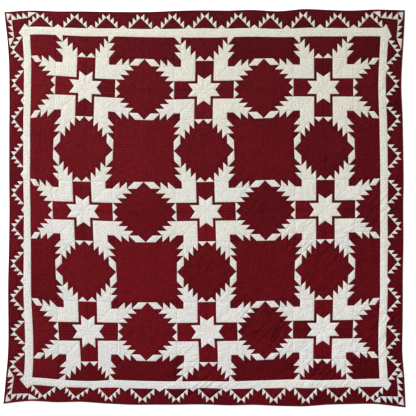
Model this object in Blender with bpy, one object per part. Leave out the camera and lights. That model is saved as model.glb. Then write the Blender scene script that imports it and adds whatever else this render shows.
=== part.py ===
"""Star quilt blanket, laid out flat with its pieced face up.

A red and white cotton quilt of nine feathered stars in three rows, inside a white strip
and a toothed border. The pieced top, the batting and the back are quilted together, so
they are one solid, the sheet. Its flat underside lies at z = 0, and its upper side rises
between the main seams. Four strips of binding are sewn round it, one along each side.

Metres, +Z up. +Y is the quilt's top edge, and the origin is under the middle of its box.
"""

import math

import bmesh
import bpy
import numpy as np

COLLECTION = "star_quilt_blanket"
INCH = 0.0254
MM = 0.001

# Sizes of the piecing, in metres.
FEATHER = 1.25 * INCH  # side of the small squares along a star's feathered edge
CROSS_HALF = math.sqrt(2) * FEATHER  # half the width of the red cross in a block
BAND = 1.5 * CROSS_HALF  # width of the white band beside the cross
CROSS_REACH = CROSS_HALF + BAND + FEATHER  # from a star's middle to its cross's end
BLOCK_HALF = CROSS_REACH + BAND + CROSS_HALF + FEATHER
SIDE_REACH = 8.35 * FEATHER  # from the middle of an outer star to the strip, sideways
END_REACH = 7.657 * FEATHER  # the same, towards the top and the bottom
STRIP = 0.036  # white strip round the nine stars
BORDER = 0.077  # toothed border outside the strip, with the binding
BINDING = 0.006  # binding that shows on the face

# Heights above the floor, in metres.
SEAM_HEIGHT = 0.0030  # where the quilting draws the layers together
PUFF = 0.0022  # how much the batting lifts the cloth between seams
SWELL = 0.00035  # slow unevenness of the laid cloth
SWELL_ACROSS = 0.86  # length of its waves from left to right
SWELL_ALONG = 1.03  # and from top to bottom
BINDING_HEIGHT = 0.0042
GAP = 0.0003  # between the sheet and its binding

# Spaces between seams that are wider than these get one or two grid lines.
ONE_LINE = 1.3 * FEATHER
TWO_LINES = 2.3 * FEATHER

# The binding's rounded section: steps from its inner edge to the quilt's edge, and the
# share of its height at each.
BINDING_STEPS = (0, 0.3, 0.7, 1)
BINDING_CROWN = (0.85, 1, 0.92, 0.5)

# Outer half sizes of the quilt before it strays from the even layout.
HALF_WIDTH = 2 * BLOCK_HALF + SIDE_REACH + STRIP + BORDER
HALF_LENGTH = 2 * BLOCK_HALF + END_REACH + STRIP + BORDER

# How far the quilt strays outwards from the even layout, in millimetres, at even steps:
# top and bottom from left to right, left and right from the top down. These and the
# strays below were read by eye off the enlarged photo.
EDGE_STRAY = {
    "top": (12, 20, 16, 16, 14, 13, 14, 19, 21, 20, 23, 17, 27, 23, 20, 25, 21),
    "bottom": (11, -2, 4, 2, 10, 16, 16, 16, 15, 19, 17, 22, 24, 16, 13, 13, 29),
    "left": (8, -6, -14, -16, -16, -15, -15, -15, -16, -15, -13, -10, -10, -11, -9, 1, 13),
    "right": (14, 8, 1, -3, 2, 5, 7, 8, 6, 7, 6, 4, 4, 3, 2, 11, 17),
}
# The same for the middle of the white strip.
STRIP_STRAY = {
    "top": (16, 9, 7, 7, 9),
    "bottom": (-4, 9, 12, 8, 4),
    "left": (-1, -5, -8, -8, -10),
    "right": (10, 4, 7, 7, 6),
}
# How far each star strays, in millimetres: its column and row from the middle, right and
# up at its middle, how far its level arm falls to the right, and how far its upright arm
# leans right on its way down, each from the middle to the arm's end.
STAR_STRAY = (
    (-1, 1, 4, 7, 11, -7),
    (0, 1, 0, -6, -3, -3),
    (1, 1, -1, 5, 0, 1),
    (-1, 0, -6, -14, 7, 8),
    (0, 0, 9, -17, -3, 6),
    (1, 0, 8, -7, -3, 0),
    (-1, -1, 18, -18, 3, 6),
    (0, -1, 15, -20, -2, 2),
    (1, -1, -2, -9, -3, -4),
)
ARM_ENDS = ((0, 0), (1, 0), (0, 1), (-1, 0), (0, -1))

# Finishes: base colour, roughness.
QUILTED_COTTON = ("quilted_cotton", (0.145, 0.008, 0.012, 1.0), 0.85)
BINDING_COTTON = ("binding_cotton", (0.095, 0.006, 0.010, 1.0), 0.85)


def side_ties(half_width, half_length, stray):
    """Even points along the four sides of a rectangle, and how far each one strays."""
    across = np.linspace(-1, 1, len(stray["top"]))
    ends = np.abs(across) == 1
    ties = {}
    for side, sign in (("top", 1), ("bottom", -1)):
        out = np.array(stray[side]) * MM
        for x, dy in zip(across, out):
            ties[(x * half_width, sign * half_length)] = [0.0, sign * dy]
    for side, sign in (("right", 1), ("left", -1)):
        out = np.array(stray[side]) * MM
        for y, dx, corner in zip(-across, out, ends):
            place = (sign * half_width, y * half_length)
            if corner:
                ties[place][0] = sign * dx
            else:
                ties[place] = [sign * dx, 0.0]
    return ties


def spread(squared):
    """The thin plate's kernel for squared distances, which is 0 where they are 0."""
    return squared * np.log(np.where(squared > 0, squared, 1))


def squared_distances(points, ties):
    """Squared distance of each point from each tie."""
    return ((points[:, None, :] - ties[None, :, :]) ** 2).sum(axis=2)


def thin_plate(ties):
    """A function that moves points of the even layout to where the quilt has them.

    The move is the smooth one of a thin plate that is held at the ties.
    """
    held = np.array(list(ties.keys()))
    moves = np.array(list(ties.values()))
    flat = np.hstack([np.ones((len(held), 1)), held])
    top = np.hstack([spread(squared_distances(held, held)), flat])
    bottom = np.hstack([flat.T, np.zeros((3, 3))])
    wanted = np.vstack([moves, np.zeros((3, 2))])
    weights = np.linalg.solve(np.vstack([top, bottom]), wanted)

    def move(points):
        plain = np.hstack([np.ones((len(points), 1)), points])
        bent = spread(squared_distances(points, held))
        return points + np.hstack([bent, plain]) @ weights

    return move


def laid_quilt():
    """The move from the even layout to the laid quilt, with its box in the middle."""
    strip_middle = BORDER + STRIP / 2
    ties = side_ties(HALF_WIDTH, HALF_LENGTH, EDGE_STRAY)
    ties.update(side_ties(HALF_WIDTH - strip_middle, HALF_LENGTH - strip_middle, STRIP_STRAY))
    for column, row, right, up, fall, lean in STAR_STRAY:
        for across, along in ARM_ENDS:
            place = (
                column * 2 * BLOCK_HALF + across * (CROSS_REACH + BAND),
                row * 2 * BLOCK_HALF + along * (CROSS_REACH + BAND),
            )
            ties[place] = [(right - lean * along) * MM, (up - fall * across) * MM]
    move = thin_plate(ties)
    xs = cuts(HALF_WIDTH)
    ys = cuts(HALF_LENGTH)
    rim = [(x, y) for x in xs for y in (ys[0], ys[-1])]
    rim += [(x, y) for y in ys for x in (xs[0], xs[-1])]
    laid = move(np.array(rim))
    middle = (laid.min(axis=0) + laid.max(axis=0)) / 2
    return lambda points: move(points) - middle


def seams(half):
    """Main seam lines across the even layout, from one edge of the quilt to the other."""
    found = [-half, -half + BORDER, -half + BORDER + STRIP]
    for middle in (-2 * BLOCK_HALF, 0, 2 * BLOCK_HALF):
        for step in (CROSS_HALF, CROSS_HALF + BAND, CROSS_REACH, CROSS_REACH + BAND):
            found += [middle - step, middle + step]
    found += [-BLOCK_HALF, BLOCK_HALF]
    found += [half, half - BORDER, half - BORDER - STRIP]
    return np.array(sorted(found))


def cuts(half):
    """Grid lines: every seam, and one or two lines between those that are far apart."""
    lines = seams(half)
    found = [lines[0]]
    for low, high in zip(lines[:-1], lines[1:]):
        parts = 1
        if high - low > ONE_LINE:
            parts = 2
        if high - low > TWO_LINES:
            parts = 3
        found += [low + (high - low) * step / parts for step in range(1, parts + 1)]
    return np.array(found)


def lift(places, lines):
    """0 on a seam and between seams that are close, and up to 1 between the others."""
    index = np.clip(np.searchsorted(lines, places, side="right") - 1, 0, len(lines) - 2)
    width = lines[index + 1] - lines[index]
    return np.clip(np.sin(math.pi * (places - lines[index]) / width), 0, 1)


def sheet_height(points):
    """Height of the quilted face over points of the even layout."""
    across = lift(points[:, 0], seams(HALF_WIDTH))
    along = lift(points[:, 1], seams(HALF_LENGTH))
    turns = 2 * math.pi * points / np.array((SWELL_ACROSS, SWELL_ALONG))
    swell = np.sin(turns[:, 0] + 0.8) * np.cos(turns[:, 1] - 0.5)
    return SEAM_HEIGHT + PUFF * np.sqrt(across * along) + SWELL * swell


def binding_height(axis, half):
    """A function for the rounded height of the two strips that lie across an axis."""

    def height(points):
        out = 1 - (half - np.abs(points[:, axis])) / BINDING
        return BINDING_HEIGHT * np.interp(out, BINDING_STEPS, BINDING_CROWN)

    return height


def finish(name, colour, roughness):
    """A plain cotton material."""
    material = bpy.data.materials.get(name) or bpy.data.materials.new(name)
    material.use_nodes = True
    shader = material.node_tree.nodes["Principled BSDF"]
    shader.inputs["Base Color"].default_value = colour
    shader.inputs["Roughness"].default_value = roughness
    shader.inputs["Metallic"].default_value = 0.0
    return material


def raised_sheet(name, xs, ys, place, height, material, collection):
    """A closed sheet over a grid: raised above, flat at z = 0 below."""
    mesh = bpy.data.meshes.new(name)
    body = bmesh.new()
    bmesh.ops.create_grid(body, x_segments=len(xs) - 1, y_segments=len(ys) - 1, size=1)
    body.verts.ensure_lookup_table()
    unit = np.array([vert.co[:2] for vert in body.verts])
    column = np.rint((unit[:, 0] + 1) / 2 * (len(xs) - 1)).astype(int)
    row = np.rint((unit[:, 1] + 1) / 2 * (len(ys) - 1)).astype(int)
    even = np.column_stack([xs[column], ys[row]])
    laid = place(even)
    heights = height(even)
    for vert, (x, y), z in zip(body.verts, laid, heights):
        vert.co = (x, y, z)
    rim = [edge for edge in body.edges if edge.is_boundary]
    grown = bmesh.ops.extrude_edge_only(body, edges=rim)["geom"]
    for vert in [item for item in grown if isinstance(item, bmesh.types.BMVert)]:
        vert.co.z = 0.0
    foot = [item for item in grown if isinstance(item, bmesh.types.BMEdge)]
    foot = [edge for edge in foot if edge.is_boundary]
    bmesh.ops.triangle_fill(body, use_beauty=True, use_dissolve=False, edges=foot)
    bmesh.ops.recalc_face_normals(body, faces=body.faces)
    body.to_mesh(mesh)
    body.free()
    mesh.materials.append(material)
    piece = bpy.data.objects.new(name, mesh)
    collection.objects.link(piece)
    return piece


def build():
    """Builds the sheet and its four strips of binding."""
    for thing in list(bpy.data.objects):
        bpy.data.objects.remove(thing, do_unlink=True)
    collection = bpy.data.collections.new(COLLECTION)
    bpy.context.scene.collection.children.link(collection)
    place = laid_quilt()
    cotton = finish(*QUILTED_COTTON)
    binding = finish(*BINDING_COTTON)

    inset = BINDING + GAP
    xs = cuts(HALF_WIDTH)
    ys = cuts(HALF_LENGTH)
    sheet_xs = np.clip(xs, inset - HALF_WIDTH, HALF_WIDTH - inset)
    sheet_ys = np.clip(ys, inset - HALF_LENGTH, HALF_LENGTH - inset)
    raised_sheet("quilt_sheet", sheet_xs, sheet_ys, place, sheet_height, cotton, collection)

    steps = BINDING * np.array(BINDING_STEPS)
    along = np.concatenate([[-HALF_WIDTH], sheet_xs, [HALF_WIDTH]])
    height = binding_height(1, HALF_LENGTH)
    for name, sign in (("binding_top", 1), ("binding_bottom", -1)):
        across = np.sort(sign * (HALF_LENGTH - BINDING + steps))
        raised_sheet(name, along, across, place, height, binding, collection)
    height = binding_height(0, HALF_WIDTH)
    for name, sign in (("binding_right", 1), ("binding_left", -1)):
        across = np.sort(sign * (HALF_WIDTH - BINDING + steps))
        raised_sheet(name, across, sheet_ys, place, height, binding, collection)


build()
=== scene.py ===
"""Star quilt blanket: its patchwork, quilting, binding and back, in a plain pale studio.

The quilt lies flat with its pieced face up. Each cut patch is a surface of its own, whose
edges are its seams. The patches are worked out in an even layout, star by star, and then
laid where the hand-made quilt has them. Metres, +Z up, +Y towards the quilt's top edge.
"""

import sys
import logging
import math
from collections.abc import Callable, Iterable
from dataclasses import dataclass, field, replace
from enum import Enum

import bpy
import numpy as np
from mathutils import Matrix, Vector
from numpy.typing import NDArray


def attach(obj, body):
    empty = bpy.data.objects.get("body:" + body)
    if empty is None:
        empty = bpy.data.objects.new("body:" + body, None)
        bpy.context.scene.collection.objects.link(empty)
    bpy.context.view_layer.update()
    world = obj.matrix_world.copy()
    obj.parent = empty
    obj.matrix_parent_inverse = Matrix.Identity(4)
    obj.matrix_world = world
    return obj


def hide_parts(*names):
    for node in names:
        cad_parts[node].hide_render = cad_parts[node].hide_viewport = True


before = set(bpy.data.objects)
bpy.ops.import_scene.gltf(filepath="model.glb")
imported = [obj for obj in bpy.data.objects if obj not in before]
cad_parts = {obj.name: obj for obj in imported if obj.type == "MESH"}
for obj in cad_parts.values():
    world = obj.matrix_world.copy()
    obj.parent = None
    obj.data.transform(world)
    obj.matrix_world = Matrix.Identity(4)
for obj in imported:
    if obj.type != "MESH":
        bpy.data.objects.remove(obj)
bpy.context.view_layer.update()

log = logging.getLogger("star_quilt")
Points = NDArray[np.float64]
Source = "bpy.types.NodeSocket | float"

MM = 0.001
INCH = 0.0254
ROOT = "root"

# Sizes of the piecing, in metres.
FEATHER = 1.25 * INCH  # side of the small squares along a star's feathered edge
CROSS_HALF = math.sqrt(2) * FEATHER  # half the width of the red cross in a block
BAND = 1.5 * CROSS_HALF  # width of the white band beside the cross
CROSS_REACH = CROSS_HALF + BAND + FEATHER  # from a star's middle to its cross's end
BLOCK_HALF = CROSS_REACH + BAND + CROSS_HALF + FEATHER
SIDE_REACH = 8.35 * FEATHER  # from the middle of an outer star to the strip, sideways
END_REACH = 7.657 * FEATHER  # the same, towards the top and the bottom
STRIP = 0.036  # white strip round the nine stars
BORDER = 0.077  # toothed border outside the strip, with the binding
BINDING = 0.006  # binding that shows on the face
HALF_WIDTH = 2 * BLOCK_HALF + SIDE_REACH + STRIP + BORDER
HALF_LENGTH = 2 * BLOCK_HALF + END_REACH + STRIP + BORDER

# How far the quilt strays outwards from the even layout, in millimetres, at even steps:
# top and bottom from left to right, left and right from the top down. These and the
# places below were read off the enlarged photo.
EDGE_STRAY = {
    "top": (12, 20, 16, 16, 14, 13, 14, 19, 21, 20, 23, 17, 27, 23, 20, 25, 21),
    "bottom": (11, -2, 4, 2, 10, 16, 16, 16, 15, 19, 17, 22, 24, 16, 13, 13, 29),
    "left": (8, -6, -14, -16, -16, -15, -15, -15, -16, -15, -13, -10, -10, -11, -9, 1, 13),
    "right": (14, 8, 1, -3, 2, 5, 7, 8, 6, 7, 6, 4, 4, 3, 2, 11, 17),
}
# The same for the middle of the white strip.
STRIP_STRAY = {
    "top": (16, 9, 7, 7, 9),
    "bottom": (-4, 9, 12, 8, 4),
    "left": (-1, -5, -8, -8, -10),
    "right": (10, 4, 7, 7, 6),
}
# How far each star strays, in millimetres, by its column and row from the middle: right
# and up at its middle, how far its level arm falls to the right, and how far its upright
# arm leans right on its way down, each from the middle to the arm's end.
STAR_STRAY = {
    (-1, 1): (4, 7, 11, -7), (0, 1): (0, -6, -3, -3), (1, 1): (-1, 5, 0, 1),
    (-1, 0): (-6, -14, 7, 8), (0, 0): (9, -17, -3, 6), (1, 0): (8, -7, -3, 0),
    (-1, -1): (18, -18, 3, 6), (0, -1): (15, -20, -2, 2), (1, -1): (-2, -9, -3, -4),
}
ARM_ENDS = ((0, 0), (1, 0), (0, 1), (-1, 0), (0, -1))
# Places of the border's peaks along each side, in millimetres from the quilt's middle.
PEAKS = {
    "top": (-790, -625, -472, -306, -152, 4, 165, 320, 478, 643, 796),
    "bottom": (-783, -623, -460, -297, -135, 29, 178, 335, 490, 650, 801),
    "left": (-754, -595, -433, -267, -93, 74, 254, 427, 599, 759),
    "right": (-769, -621, -441, -259, -87, 79, 251, 430, 598, 748),
}
# Places in a toothed corner, in millimetres out to the side and to the end from the white
# strip's corner: the knee of the teeth's base line, where that line ends along the top or
# bottom, and where it ends along the left or right.
CORNER_TEETH = ((46, 38), (-30, 42), (42, -40))


class Cloth(Enum):
    """The cloths that the quilt's face is cut from, by the name of their finish."""

    RED = "red_cotton"
    WHITE = "white_cotton"


class Side(Enum):
    """The quilt's four sides: the axis along the side and the sign of its outward way."""

    TOP = (0, 1)
    BOTTOM = (0, -1)
    LEFT = (1, -1)
    RIGHT = (1, 1)

    def place(self, along: Points, out: Points) -> Points:
        """Turn places along the side and out from the white strip's edge into x and y.

        Args:
            along: Places along the side, from left to right or from the bottom up.
            out: Distances outwards from the white strip's outer edge.

        Returns:
            Points of the even layout, shape (n, 2).
        """
        axis, sign = self.value
        reach = (HALF_LENGTH if axis == 0 else HALF_WIDTH) - BORDER
        away = sign * (reach + np.asarray(out, float))
        pair = (np.asarray(along, float), away)
        return np.column_stack(pair if axis == 0 else pair[::-1])

    @property
    def corner(self) -> float:
        """How far along this side the white strip's outer corner is from the middle."""
        return (HALF_WIDTH if self.value[0] == 0 else HALF_LENGTH) - BORDER

    @property
    def word(self) -> str:
        """The side's name in small letters, as the tables and the pieces' names have it."""
        return self.name.lower()

    @property
    def way(self) -> tuple[float, float]:
        """The unit step along this side, in x and y."""
        return (1.0, 0.0) if self.value[0] == 0 else (0.0, 1.0)

    @property
    def peaks(self) -> Points:
        """Places of the border's peaks along this side, in metres."""
        return np.array(PEAKS[self.word]) * MM


def area_of(polygon: Points) -> float:
    """Signed area of a polygon, positive where it runs counterclockwise."""
    x, y = polygon.T
    return 0.5 * float(np.sum(x * np.roll(y, -1) - np.roll(x, -1) * y))


def turned_left(polygon: Points) -> Points:
    """The same polygon, run counterclockwise."""
    return polygon if area_of(polygon) > 0 else polygon[::-1]


def clipped(polygon: Points, axis: int, limit: float, below: bool = True) -> Points:
    """Keep the part of a polygon on one side of a line across an axis.

    Args:
        polygon: The polygon's corners, in order.
        axis: 0 to cut across x, 1 to cut across y.
        limit: Where the cut is.
        below: True to keep what is below the limit.

    Returns:
        The corners that are left, which may be none.
    """
    sign = 1 if below else -1
    room = sign * (limit - polygon[:, axis])
    kept: list[Points] = []
    for here, there, a, b in zip(polygon, np.roll(polygon, -1, 0), room, np.roll(room, -1)):
        if a >= 0:
            kept.append(here)
        if a * b < 0:
            kept.append(here + (there - here) * a / (a - b))
    return np.array(kept).reshape(-1, 2)


@dataclass(frozen=True)
class Patch:
    """One patch of cloth in the even layout, or the part of one that a block holds.

    Attributes:
        cloth: What it is cut from.
        outline: Its seams, which may run on past the part that is here.
        cells: Convex polygons that fill it.
        lines: The way its quilting lines run, or None if it is too small to have any.
        heart: The place that its shade is drawn for, which parts of one patch share.
        depth: How strongly its quilting lines show.
    """

    cloth: Cloth
    outline: Points
    cells: tuple[Points, ...]
    lines: tuple[float, float] | None = None
    heart: tuple[float, float] | None = None
    depth: float = 1.0

    @property
    def shade_place(self) -> Points:
        """The heart, or the middle of the outline's corners."""
        return self.outline.mean(axis=0) if self.heart is None else np.array(self.heart)

    def moved(self, change: Callable[[Points], Points]) -> "Patch":
        """The same patch with each point and its quilting lines moved by a linear change.

        Args:
            change: Takes points, shape (n, 2), and returns where they go.

        Returns:
            The moved patch.
        """
        lines, heart = self.lines, self.heart
        if lines is not None:
            ends = change(np.array([(0.0, 0.0), lines]))
            lines = tuple(ends[1] - ends[0])
        if heart is not None:
            heart = tuple(change(np.array([heart]))[0])
        cells = tuple(turned_left(change(cell)) for cell in self.cells)
        outline = turned_left(change(self.outline))
        return replace(self, outline=outline, cells=cells, lines=lines, heart=heart)

    def cut(self, axis: int, limit: float, below: bool = True) -> "Patch | None":
        """The part of the patch on one side of a line, or None if nothing is left."""
        least = (0.5 * MM) ** 2
        cells = [clipped(cell, axis, limit, below) for cell in self.cells]
        cells = [cell for cell in cells if len(cell) > 2 and abs(area_of(cell)) > least]
        outline = clipped(self.outline, axis, limit, below)
        return replace(self, outline=outline, cells=tuple(cells)) if cells else None


def patch(cloth: Cloth, corners: Iterable, lines: tuple[float, float] | None = None) -> Patch:
    """A patch of one convex cell."""
    outline = turned_left(np.array(list(corners), float))
    return Patch(cloth, outline, (outline,), lines)


@dataclass
class StarBlock:
    """One feathered star with its corner squares, worked out round the star's middle.

    An eighth of it, beside the +x arm of its cross, is mirrored about x, y and the
    diagonal. Blocks at the quilt's sides are squeezed, and those at its ends are cut off.

    Attributes:
        column: -1, 0 or 1, from the left.
        row: -1, 0 or 1, from the bottom.
        notch: How far the centre star reaches along the cross's axes, in feathers.
    """

    column: int
    row: int
    notch: float = 1.69

    def eighth(self) -> list[Patch]:
        """The patches beside the +x arm, above it and below the diagonal."""
        unit, half, band, reach = FEATHER, CROSS_HALF, BAND, CROSS_REACH
        step = FEATHER / math.sqrt(2)
        shoulder = half + band
        tip = (1 + math.sqrt(2)) * unit
        far = 2 * BLOCK_HALF - reach
        white, red = Cloth.WHITE, Cloth.RED
        found = [
            patch(white, ((0, 0), (self.notch * unit, 0), (tip, unit), (unit, unit))),
            patch(white, ((reach, 0), (reach, half), (reach + step, step))),
            patch(
                white,
                ((half, half), (reach, half), (reach, shoulder), (shoulder, shoulder)),
                (0, 1),
            ),
            patch(white, ((reach, half), (reach, shoulder), (reach + band, shoulder))),
            Patch(
                red,
                np.array(((reach, 0), (BLOCK_HALF, -reach), (far, 0), (BLOCK_HALF, reach))),
                (np.array(((reach, 0), (BLOCK_HALF, 0), (BLOCK_HALF, reach))),),
                (1, 1),
                (BLOCK_HALF, 0),
                0.4,
            ),
            Patch(
                red,
                np.array(((reach, reach), (far, reach), (far, far), (reach, far))),
                (np.array(((reach, reach), (BLOCK_HALF, reach), (BLOCK_HALF,) * 2)),),
                (0, 1),
                (BLOCK_HALF, BLOCK_HALF),
            ),
            self.arm(),
            patch(
                white,
                (
                    (reach + band, shoulder),
                    (reach + band + half, shoulder),
                    (BLOCK_HALF, reach),
                    (reach + band + unit, reach),
                ),
            ),
            patch(red, ((shoulder, shoulder), (reach, shoulder), (reach, reach))),
            patch(
                red,
                ((reach + band, shoulder), (reach + band + unit, reach), (reach + band, reach)),
            ),
        ]
        for feather in range(4):
            low = np.array((reach + feather * step, half + feather * step))
            right, up, down = low + (half, 0), low + step, low + (step, -step)
            found.append(patch(red, (low, down, right)))
            if feather < 3:
                found.append(patch(white, (low, right, up)))
        for start in (reach, reach + band / 2):
            foot = np.array((start, shoulder))
            found.append(patch(white, (foot, foot + (band / 2, 0), foot + (band / 2, unit))))
            found.append(patch(red, (foot, foot + (band / 2, unit), foot + (0, unit))))
        return found

    def arm(self) -> Patch:
        """The upper half of the cross's red +x arm, beside the tips of the centre star."""
        unit, half, reach = FEATHER, CROSS_HALF, CROSS_REACH
        tip, notch = (1 + math.sqrt(2)) * unit, self.notch * unit
        outline = (
            (notch, 0), (reach, 0), (reach, half), (half, half), (unit, unit), (tip, unit)
        )
        cells = (
            ((unit, unit), (tip, unit), (tip, half), (half, half)),
            ((tip, 0), (reach, 0), (reach, half), (tip, half)),
            ((notch, 0), (tip, 0), (tip, unit)),
        )
        cells = tuple(np.array(cell) for cell in cells)
        return Patch(Cloth.RED, np.array(outline), cells, (1, 0), (reach, 0))

    def fitted(self, whole: Patch) -> Patch | None:
        """Squeeze or cut a patch of an outer block to what the quilt has room for."""
        fold = CROSS_REACH + BAND
        squeeze = (SIDE_REACH - fold) / (BLOCK_HALF - fold)
        fit: Patch | None = whole
        if self.column:
            sign = (self.column, 1)
            turned = whole.moved(lambda p: p * sign).cut(0, BLOCK_HALF)
            inner, outer = turned.cut(0, fold), turned.cut(0, fold, below=False)
            if outer is not None:
                outer = outer.moved(lambda p: p * (squeeze, 1) + (fold * (1 - squeeze), 0))
            kept = [part for part in (inner, outer) if part is not None]
            outlines = [part.outline for part in kept]
            fit = replace(
                kept[0],
                outline=outlines[0] if len(kept) == 1 else joined(*outlines, fold),
                cells=tuple(cell for part in kept for cell in part.cells),
            ).moved(lambda p: p * sign)
        if self.row:
            sign_y = (1, self.row)
            fit = fit.moved(lambda p: p * sign_y).cut(1, END_REACH)
            fit = None if fit is None else fit.moved(lambda p: p * sign_y)
        return None if fit is None else replace(fit, heart=whole.heart)

    def patches(self) -> list[Patch]:
        """All the patches of the block, in the quilt's even layout."""
        found = []
        for swap in (False, True):
            for sx in (1, -1):
                for sy in (1, -1):
                    order = slice(None, None, -1) if swap else slice(None)
                    found += [
                        one.moved(lambda p: p[:, order] * (sx, sy)) for one in self.eighth()
                    ]
        centre = np.array((self.column, self.row)) * 2 * BLOCK_HALF
        fitted = [self.fitted(one) for one in found]
        return [one.moved(lambda p: p + centre) for one in fitted if one is not None]


def joined(inner: Points, outer: Points, fold: float) -> Points:
    """One outline round two that meet along the line x = fold, without that line.

    Args:
        inner: The outline below the line, counterclockwise.
        outer: The outline above it, counterclockwise.
        fold: Where the line is.

    Returns:
        The outline of both.
    """
    loops = []
    for outline in (inner, outer):
        on = np.abs(outline[:, 0] - fold) < 0.001 * MM
        start = int(np.argmax(on & np.roll(on, 1)))
        loops.append(np.roll(outline, -start, axis=0))
    return np.vstack([loops[0], loops[1][1:-1]])


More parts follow.
